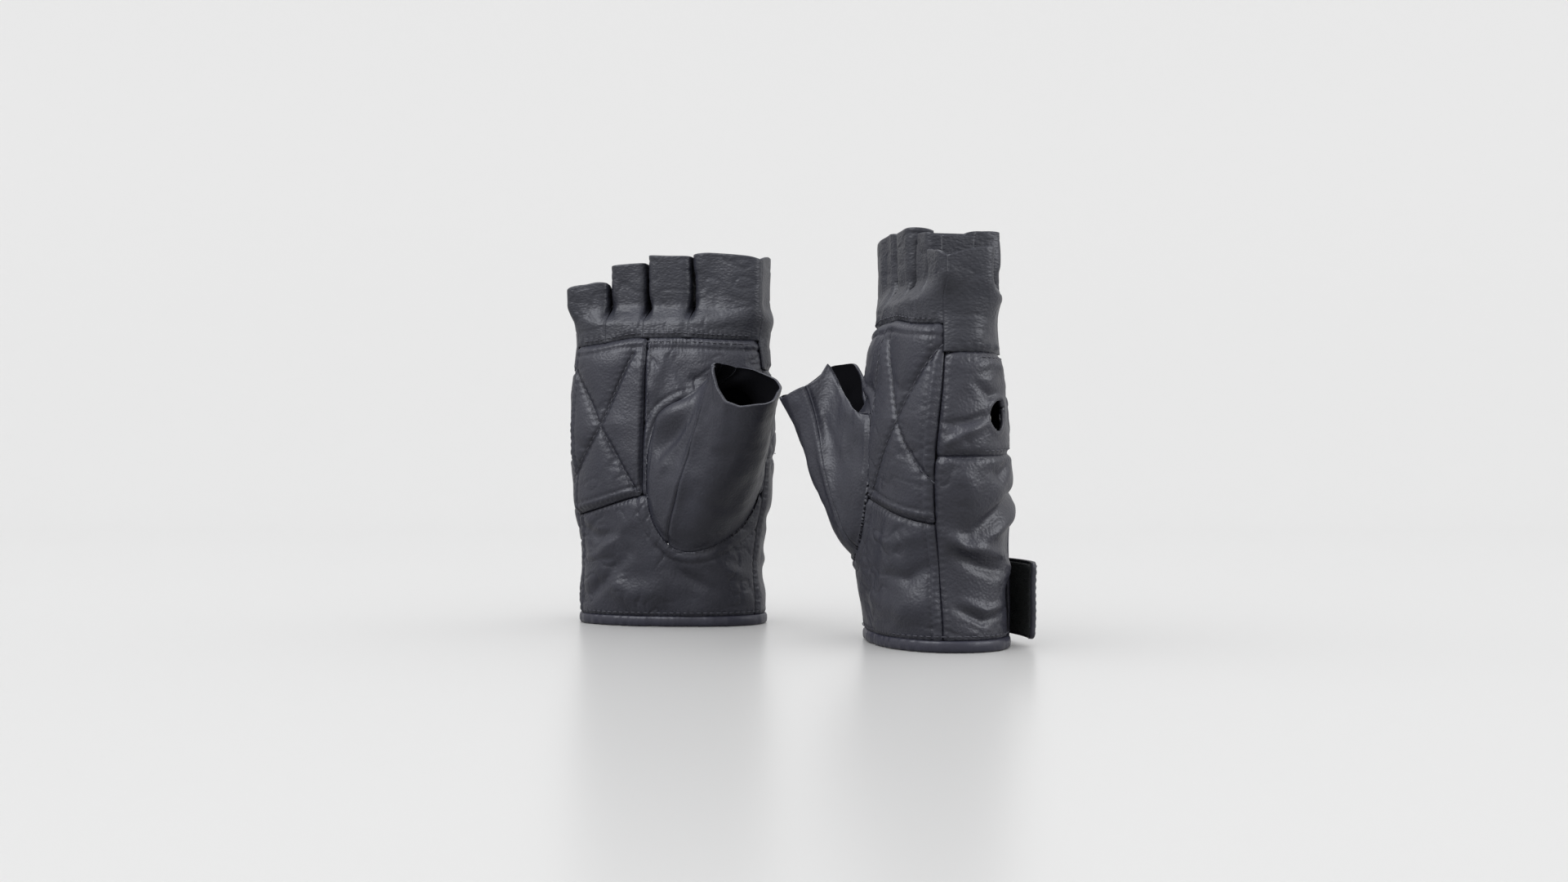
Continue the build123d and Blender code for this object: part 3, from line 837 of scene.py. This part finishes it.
# The panels of the sleeve, from one place round the seam to another.
THUMB_PARTS = (
    ("thumb_outer_panel", 0.0, 9.6),
    ("thumb_gusset", 9.6, 12.0),
    ("thumb_inner_panel", 12.0, 16.0),
)


def thumb_pieces(glove):
    """Outer panel, inner panel and web gusset of the thumb sleeve."""
    plain = thumb_grid(glove.side)
    out = normals(plain)
    n, m = plain.shape[:2]
    share = np.linspace(0, len(THUMB_RIM), n)[:, None] + np.zeros((1, m))
    w = np.linspace(0, 1, m)[None, :] + np.zeros((n, 1))
    seed = 80 if glove.side == "right" else 90
    rise = 0.7 * lattice_noise(plain[..., 0] + plain[..., 1], plain[..., 2], 11.0, seed)
    rise += 0.25 * lattice_noise(plain[..., 0] - plain[..., 1], plain[..., 2], 4.5, seed + 1)
    rise += strokes(share * FOLD_SCALE, w, THUMB_FOLDS[glove.side], FOLD_SCALE)
    from_front = np.minimum(share, len(THUMB_RIM) - share)
    rise += 2.0 * bell(from_front, 0.35) * np.sqrt(np.clip(np.sin(np.pi * w * 0.85), 0, 1))
    rise *= smoothstep(0, 0.1, w)
    for name, first, last in THUMB_PARTS:
        rows = (share[:, 0] >= first - 1e-6) & (share[:, 0] <= last + 0.051)
        part, normal = plain[rows], out[rows]
        edge = from_ends(len(part))[:, None] * THUMB_CELL
        lift = rise[rows] - 0.9 * bell(edge, 1.1) + 0.8 * bell(w[rows], 0.02)
        parts = shell([(part + normal * lift[..., None], normal)], LEATHER)
        glove.make(name, parts, "smooth", "thumb", "smooth_leather")


# ---------------- bindings, strap and tapes
def roll_faces(n, sides):
    """Faces over a row of n rings, closed at both ends."""
    index = np.arange(n * sides).reshape(n, sides)
    nxt = np.roll(index, -1, axis=1)
    faces = np.stack([index[:-1], nxt[:-1], nxt[1:], index[1:]], -1).reshape(-1, 4).tolist()
    return faces + [index[0][::-1].tolist(), index[-1].tolist()]


def tube(path, out, across, half_out, half_across, sides=14):
    """A rounded roll along a path, with its section given by two directions and two half sizes."""
    spin = np.linspace(0, 2 * np.pi, sides, endpoint=False)
    c, s = np.cos(spin), np.sin(spin)
    c, s = np.sign(c) * np.abs(c) ** 0.8, np.sign(s) * np.abs(s) ** 0.8
    ring = path[:, None] + out[:, None] * (half_out * c)[None, :, None]
    ring = ring + across[:, None] * (half_across * s)[None, :, None]
    return ring.reshape(-1, 3), roll_faces(len(path), sides)


def binding_pieces(glove):
    """The rolled edge of the cuff and of the opening in its back."""
    start, stop = (float(turn_at(np.array(x), np.array(3.0), 1)) for x in (-VENT_HALF, VENT_HALF))
    turn = np.linspace(start, stop + 360, 620)
    z = np.full(turn.shape, CUFF_ROLL_Z)
    out = surface_normal(turn, z)
    up = np.tile((0.0, 0.0, 1.0), (len(turn), 1))
    run = turn * TURN_SCALE
    wave = 0.4 * lattice_noise(run, z, 9.0, 21) + 0.2 * lattice_noise(run, z, 2.6, 22)
    path = hand(turn, z) + out * (wave - 0.45)[:, None]
    glove.make("cuff_binding", tube(path, out, up, *CUFF_ROLL), "binding", "hand", "binding_leather")
    line = vent_outline(0.6, low=1.2, count=260)
    turn = turn_at(line[:, 0], line[:, 1], 1)
    out = surface_normal(turn, line[:, 1])
    flare = 0.3 * bell(line[:, 1] - 22, 14) * (line[:, 0] < 0)
    path = hand(turn, line[:, 1]) + out * flare[:, None]
    along = np.gradient(path, axis=0)
    across = np.cross(out, along)
    across /= np.linalg.norm(across, axis=1, keepdims=True)
    glove.make("vent_binding", tube(path, out, across, *VENT_ROLL), "binding", "hand", "binding_leather")


def back_patch(x_limits, z_limits, off, curl, cell, corner=2.5):
    """A grid on the back of the cuff between limits of x and height, rounded at its free end."""
    n, m = int((x_limits[1] - x_limits[0]) / cell), int((z_limits[1] - z_limits[0]) / cell)
    u, v = shares(n, m)
    z = z_limits[0] + (z_limits[1] - z_limits[0]) * v + 0 * u
    from_edge = np.minimum(z - z_limits[0], z_limits[1] - z)
    cut = corner - np.sqrt(np.maximum(0, corner**2 - np.maximum(0, corner - from_edge) ** 2))
    x = x_limits[1] + (x_limits[0] + cut - x_limits[1]) * u
    turn = turn_at(x, z, 1)
    out = surface_normal(turn, z)
    rise = off + curl * u**3 * (0.4 + 0.6 * v) + 0 * z
    return hand(turn, z) + out * rise[..., None], out


def opened(points):
    """Strap points turned from the closed strap to where it stands."""
    angle = math.radians(-STRAP_OPEN)
    c, s = math.cos(angle), math.sin(angle)
    x, y = points[..., 0] - STRAP_HINGE[0], points[..., 1] - STRAP_HINGE[1]
    return np.stack([STRAP_HINGE[0] + c * x - s * y, STRAP_HINGE[1] + s * x + c * y, points[..., 2]], -1)


def strap_pieces(glove):
    """The strap with its loop tape, its anchor, and the tab with its hook tape."""
    low, high = STRAP_Z
    narrow = (low + 1.2, high - 1.2)
    rows = (
        # name, x, heights, off the hand, thickness, curl, body, slot, roughness of the pile
        ("wrist_strap", STRAP_X, STRAP_Z, STRAP_OFF, 1.7, STRAP_CURL, "strap", "smooth_leather", 0),
        ("strap_loop_tape", (-28.2, 2.0), narrow, 2.65, 0.9, STRAP_CURL, "strap", "loop_tape", 0.3),
        ("strap_anchor", (19.6, 33.0), STRAP_Z, 2.2, 2.0, 0, "hand", "smooth_leather", 0),
        ("closure_tab", (-25.0, 4.0), narrow, -2.1, 1.2, 0, "hand", "smooth_leather", 0),
        ("tab_hook_tape", (-12.5, 3.0), narrow, 0.6, 1.2, 0, "hand", "hook_tape", 0.12),
    )
    for name, x_limits, z_limits, off, thick, curl, body, slot, rough in rows:
        cell = 0.3 if rough else 0.6
        outer, out = back_patch(x_limits, z_limits, off, curl, cell)
        if not rough:
            n, m = outer.shape[:2]
            outer = outer - out * edge_tuck(n, m, 0.5, 0.7, cell)[..., None]
        inner = outer - out * thick
        if rough:
            noise = np.random.default_rng(len(name)).uniform(-1, 1, outer.shape[:2])
            inner = inner + out * (rough * noise)[..., None]
            outer = outer + out * (rough * noise[::-1])[..., None]
        parts = plate(outer, inner)
        points = opened(parts[0]) if body == "strap" else parts[0]
        glove.make(name, (points, parts[1]), "loop" if rough else "smooth", body, slot)


def plate(outer, inner):
    """Closed mesh between two grids."""
    n, m = outer.shape[:2]
    top = np.arange(n * m).reshape(n, m)
    faces = quads(top).reshape(-1, 4).tolist()
    faces += quads((top + n * m).T).reshape(-1, 4).tolist()
    rim = np.concatenate([top[:-1, 0], top[-1, :-1], top[:0:-1, -1], top[0, :0:-1]])
    nxt = np.roll(rim, -1)
    faces += np.stack([rim, rim + n * m, nxt + n * m, nxt], -1).tolist()
    return np.concatenate([outer.reshape(-1, 3), inner.reshape(-1, 3)]), faces


# ---------------- stitches
def stitch_mesh(lines, length=2.1, gap=0.9, radius=0.24):
    """Short rounded threads along lines of (points, outward directions)."""
    points, faces = [], []
    rings = np.array((-1.0, -0.8, 0.0, 0.8, 1.0))
    size = np.array((0.25, 0.8, 1.0, 0.8, 0.25))
    sides = 6
    spin = np.linspace(0, 2 * np.pi, sides, endpoint=False)
    one = roll_faces(len(rings), sides)
    for line, out in lines:
        run = run_lengths(line)
        count = int(run[-1] / (length + gap))
        for k in range(count):
            at = (k + 0.5) * run[-1] / count + rings * length / 2
            where = np.stack([np.interp(at, run, line[:, a]) for a in range(3)], -1)
            up = np.array([np.interp(at[2], run, out[:, a]) for a in range(3)])
            side = np.cross(where[-1] - where[0], up)
            side /= np.linalg.norm(side) + 1e-9
            where = where + up * (0.12 * (1 - np.abs(rings)) - 0.05)[:, None]
            round_it = side * np.cos(spin)[:, None] + up * 0.8 * np.sin(spin)[:, None]
            ring = where[:, None] + radius * size[:, None, None] * round_it
            base = len(points) * len(rings) * sides
            faces += [[base + corner for corner in face] for face in one]
            points.append(ring.reshape(-1, 3))
    return np.concatenate(points), faces


def seam_line(turn, z, off):
    """A line on the hand's surface with its outward directions."""
    out = surface_normal(turn, z)
    return hand(turn, z) + out * off, out


def flat_line(line, side, off):
    """A line given by x and height, on the palm (side -1) or on the back (side 1)."""
    return seam_line(turn_at(line[:, 0], line[:, 1], side), line[:, 1], off)


def palm_threads():
    """Stitch lines of the palm and of the seams across the back."""
    lines = [flat_line(resample(np.array(line, float), 120), -1, -0.05) for line in QUILT]
    z = np.linspace(93, 127, 80)
    for shift in (-1.6, 1.6):
        lines.append(seam_line(turn_at(np.full(80, QUILT_X + shift), z, -1), z, 0.5))
    turn = np.linspace(198, 342, 300)
    lines += [seam_line(turn, palm_seam(turn) + shift, 0.15) for shift in (-1.9, 1.9)]
    turn = np.linspace(196, 256, 160)
    lines.append(seam_line(turn, heel_seam(turn) + 1.9, 0.3))
    turn = np.linspace(8, 172, 400)
    lines.append(seam_line(turn, back_seam(turn) + 1.9, 0.2))
    lines.append(seam_line(turn, np.full(400, BAND_TOP - 1.9), 0.2))
    return lines


def cuff_threads():
    """Stitch lines round the cuff and along its opening."""
    start, stop = (float(turn_at(np.array(x), np.array(6.0), 1)) for x in (-VENT_HALF - 3, VENT_HALF + 3))
    turn = np.linspace(start, stop + 360, 900)
    hem = seam_line(turn, np.full(900, HEM + 1.3), 0.15)
    return [hem, flat_line(vent_outline(3.4, low=HEM + 2), 1, 0.25)]


def strap_threads():
    """The stitch line round the strap, where the strap stands."""
    left, right, low, high = STRAP_X[0] + 1.8, STRAP_X[1] - 1.2, STRAP_Z[0] + 1.5, STRAP_Z[1] - 1.5
    line = resample(np.array(((right, low), (left, low), (left, high), (right, high), (right, low))), 400)
    points, out = flat_line(line, 1, STRAP_OFF)
    share = (STRAP_X[1] - line[:, 0]) / (STRAP_X[1] - STRAP_X[0])
    curl = STRAP_CURL * share**3 * (0.4 + 0.6 * (line[:, 1] - low) / (high - low))
    return [(opened(points + out * curl[:, None]), out)]


def stitch_pieces(glove):
    """The threads of the palm, of the cuff and of the strap."""
    for name, lines, body in (
        ("palm_stitching", palm_threads(), "hand"),
        ("cuff_stitching", cuff_threads(), "hand"),
        ("strap_stitching", strap_threads(), "strap"),
    ):
        glove.make(name, stitch_mesh(lines), "thread", body, "thread")


# ---------------- how pieces move
def ride_on(body):
    """Rides on one body of the glove."""
    return lambda glove, piece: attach(piece, f"{glove.side}_{body}")


def bends(start, direction, length):
    """Ties for the finger and thumb pieces: each piece's place is baked into its points and it stays
    where it stands; the two places in the glove's own frame that it works out go unused.
    """
    start = np.array(start, float)
    end = start + np.array(direction) / np.linalg.norm(direction) * length

    def tie(glove, piece):
        ends = (tuple(glove.placed([p])[0].tolist()) for p in (start, end))
        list(ends)
        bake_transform(piece)

    return tie


RIDES = {
    "hand": ride_on("hand"),
    "strap": ride_on("strap"),
    "fingers": bends((0, -22, PALM_TOP + 1), (0, 0.278, 0.961), 24),
    "thumb": bends((24, -24, 106.5), (0.35, -0.75, 0.5), 26),
}


# ---------------- materials
def add_node(material, kind, **values):
    """A new node with some of its inputs set."""
    node = material.node_tree.nodes.new(f"ShaderNode{kind}")
    for name, value in values.items():
        node.inputs[name].default_value = value
    return node


def node_material(name, roughness, colour, dark):
    """A principled material whose colour drifts softly between two shades."""
    material = bpy.data.materials.new(name)
    material.use_nodes = True
    links = material.node_tree.links
    shader = material.node_tree.nodes["Principled BSDF"]
    shader.inputs["Roughness"].default_value = roughness
    where = add_node(material, "TexCoord")
    drift = add_node(material, "TexNoise", Scale=70, Detail=6)
    ramp = add_node(material, "Mix")
    ramp.data_type = "RGBA"
    ramp.inputs[6].default_value = (*dark, 1)
    ramp.inputs[7].default_value = (*colour, 1)
    links.new(where.outputs["Object"], drift.inputs["Vector"])
    links.new(drift.outputs["Fac"], ramp.inputs[0])
    links.new(ramp.outputs[2], shader.inputs["Base Color"])
    return material, where, shader


def add_bump(material, where, shader, layers):
    """Adds grain: layers of (kind, scale, strength, depth in metres, stretch)."""
    links = material.node_tree.links
    last = None
    for kind, scale, strength, depth, stretch in layers:
        fit = add_node(material, "Mapping", Scale=stretch)
        links.new(where.outputs["Object"], fit.inputs["Vector"])
        if kind == "cells":
            texture = add_node(material, "TexVoronoi", Scale=scale)
            texture.feature = "SMOOTH_F1"
            result = "Distance"
        else:
            texture = add_node(material, "TexNoise", Scale=scale, Detail=4)
            result = "Fac"
        links.new(fit.outputs["Vector"], texture.inputs["Vector"])
        bump = add_node(material, "Bump", Strength=strength, Distance=depth)
        links.new(texture.outputs[result], bump.inputs["Height"])
        if last is not None:
            links.new(last.outputs["Normal"], bump.inputs["Normal"])
        last = bump
    links.new(last.outputs["Normal"], shader.inputs["Normal"])
    return material


EVEN, CROSS = (1, 1, 1), (0.8, 0.8, 1.3)  # stretch of the grain
FINISHES = {
    # key: name, roughness, lighter and darker colour, specular level, layers of grain
    "smooth": ("smooth_leather", 0.47, (0.0175, 0.018, 0.026), (0.011, 0.0112, 0.0165), 0.33,
               (("cells", 1000, 0.5, 0.0003, EVEN), ("noise", 380, 0.3, 0.0004, EVEN))),
    "grain": ("grained_leather", 0.46, (0.017, 0.0172, 0.025), (0.010, 0.0102, 0.015), 0.36,
              (("cells", 950, 0.65, 0.0003, EVEN), ("noise", 300, 0.3, 0.0005, CROSS))),
    "finger": ("finger_leather", 0.48, (0.017, 0.0178, 0.0245), (0.010, 0.0104, 0.0145), 0.33,
               (("cells", 900, 0.7, 0.0003, CROSS), ("noise", 320, 0.3, 0.0005, CROSS))),
    "binding": ("binding_leather", 0.44, (0.021, 0.021, 0.032), (0.013, 0.013, 0.02), 0.3,
                (("noise", 600, 0.4, 0.0003, EVEN),)),
    # painted shade: the inside faces (dark leather, and the backing cloth) are made near-black and
    # without any shine, darker than the leather outside, to stand for the shade inside the glove
    "inside": ("inside_painted_shade", 0.95, (0.005, 0.005, 0.006), (0.003, 0.003, 0.0035), 0.0,
               (("noise", 2500, 0.5, 0.0003, EVEN),)),
    "thread": ("thread", 0.6, (0.03, 0.03, 0.042), (0.016, 0.016, 0.022), 0.5,
               (("noise", 3000, 0.5, 0.0002, EVEN),)),
    "loop": ("loop_tape", 0.95, (0.03, 0.035, 0.035), (0.005, 0.007, 0.007), 0.5,
             (("noise", 2600, 1.0, 0.0008, EVEN),)),
}


def materials():
    """All finishes: slate leathers, a matt inside made near-black as painted shade, thread and tapes."""
    look = {}
    for key, (name, roughness, colour, dark, shine, layers) in FINISHES.items():
        material, where, shader = node_material(name, roughness, colour, dark)
        shader.inputs["Specular IOR Level"].default_value = shine
        look[key] = add_bump(material, where, shader, layers)
    return look


# ---------------- light, floor and camera
EYE = (0.0, -0.758, 0.0723)  # the camera, level and looking along +Y
SKY = 1.09  # strength of the even light from all round
# Soft lights: name, place, size and energy.
LAMPS = (
    ("key", (-0.6, -0.5, 0.95), 0.7, 17.0),
    ("side", (0.95, -0.4, 0.55), 0.5, 9.0),
    ("top", (0.1, 0.3, 1.2), 0.8, 9.0),
)


def backdrop():
    """A pale sheet that runs from the floor up behind the gloves in one soft curve."""
    near, far, side, rise, bend = -3.0, 2.6, 5.0, 3.5, 1.6
    turns = np.linspace(0, math.pi / 2, 24)
    curve = [(far - bend + bend * math.sin(a), bend - bend * math.cos(a)) for a in turns]
    outline = [(near, 0.0), *curve, (far, rise)]
    points = [(x, y, z) for y, z in outline for x in (-side, side)]
    faces = [(2 * i, 2 * i + 1, 2 * i + 3, 2 * i + 2) for i in range(len(outline) - 1)]
    mesh = bpy.data.meshes.new("backdrop")
    mesh.from_pydata(points, [], faces)
    mesh.polygons.foreach_set("use_smooth", [True] * len(faces))
    sheet = add_object("backdrop", mesh)
    material = bpy.data.materials.new("backdrop")
    material.use_nodes = True
    shader = material.node_tree.nodes["Principled BSDF"]
    shader.inputs["Base Color"].default_value = (0.8, 0.8, 0.8, 1)
    shader.inputs["Roughness"].default_value = 0.3
    shader.inputs["Specular IOR Level"].default_value = 0.35
    mesh.materials.append(material)
    sheet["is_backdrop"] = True


def lamp(name, place, size, energy, receivers):
    """A soft square light aimed at the gloves, which lights only them."""
    light = bpy.data.lights.new(name, "AREA")
    light.size, light.energy, light.color = size, energy, (0.93, 0.95, 1.0)
    holder = add_object(name, light)
    holder.location = place
    aim = mathutils.Vector((0, 0, 0.08)) - holder.location
    holder.rotation_euler = aim.to_track_quat("-Z", "Y").to_euler()
    holder.light_linking.receiver_collection = receivers


def studio():
    """Backdrop, even sky, soft lights on the gloves, and the camera."""
    scene = bpy.context.scene
    receivers = bpy.data.collections.new("lit_pieces")
    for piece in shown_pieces():
        receivers.objects.link(piece)
    backdrop()
    world = bpy.data.worlds.new("studio")
    world.use_nodes = True
    sky = world.node_tree.nodes["Background"]
    sky.inputs["Color"].default_value = (1, 1, 1, 1)
    sky.inputs["Strength"].default_value = SKY
    scene.world = world
    for name, place, size, energy in LAMPS:
        lamp(name, place, size, energy, receivers)
    camera = bpy.data.cameras.new("camera")
    camera.lens, camera.sensor_width = 40.2, 36.0
    camera.shift_y = 0.0156
    eye = add_object("camera", camera)
    eye.location = EYE
    eye.rotation_euler = (math.radians(90), 0, 0)
    scene.camera = eye
    scene.view_settings.view_transform = "Standard"


# ---------------- the pair
def build():
    """Both gloves and the studio."""
    look = materials()
    for side in PLACES:
        glove = Pieces(side, look)
        for make in (palm_pieces, back_hand, knuckle_band, finger_pieces, thumb_pieces,
                     binding_pieces, strap_pieces, stitch_pieces):
            make(glove)
    studio()


build()
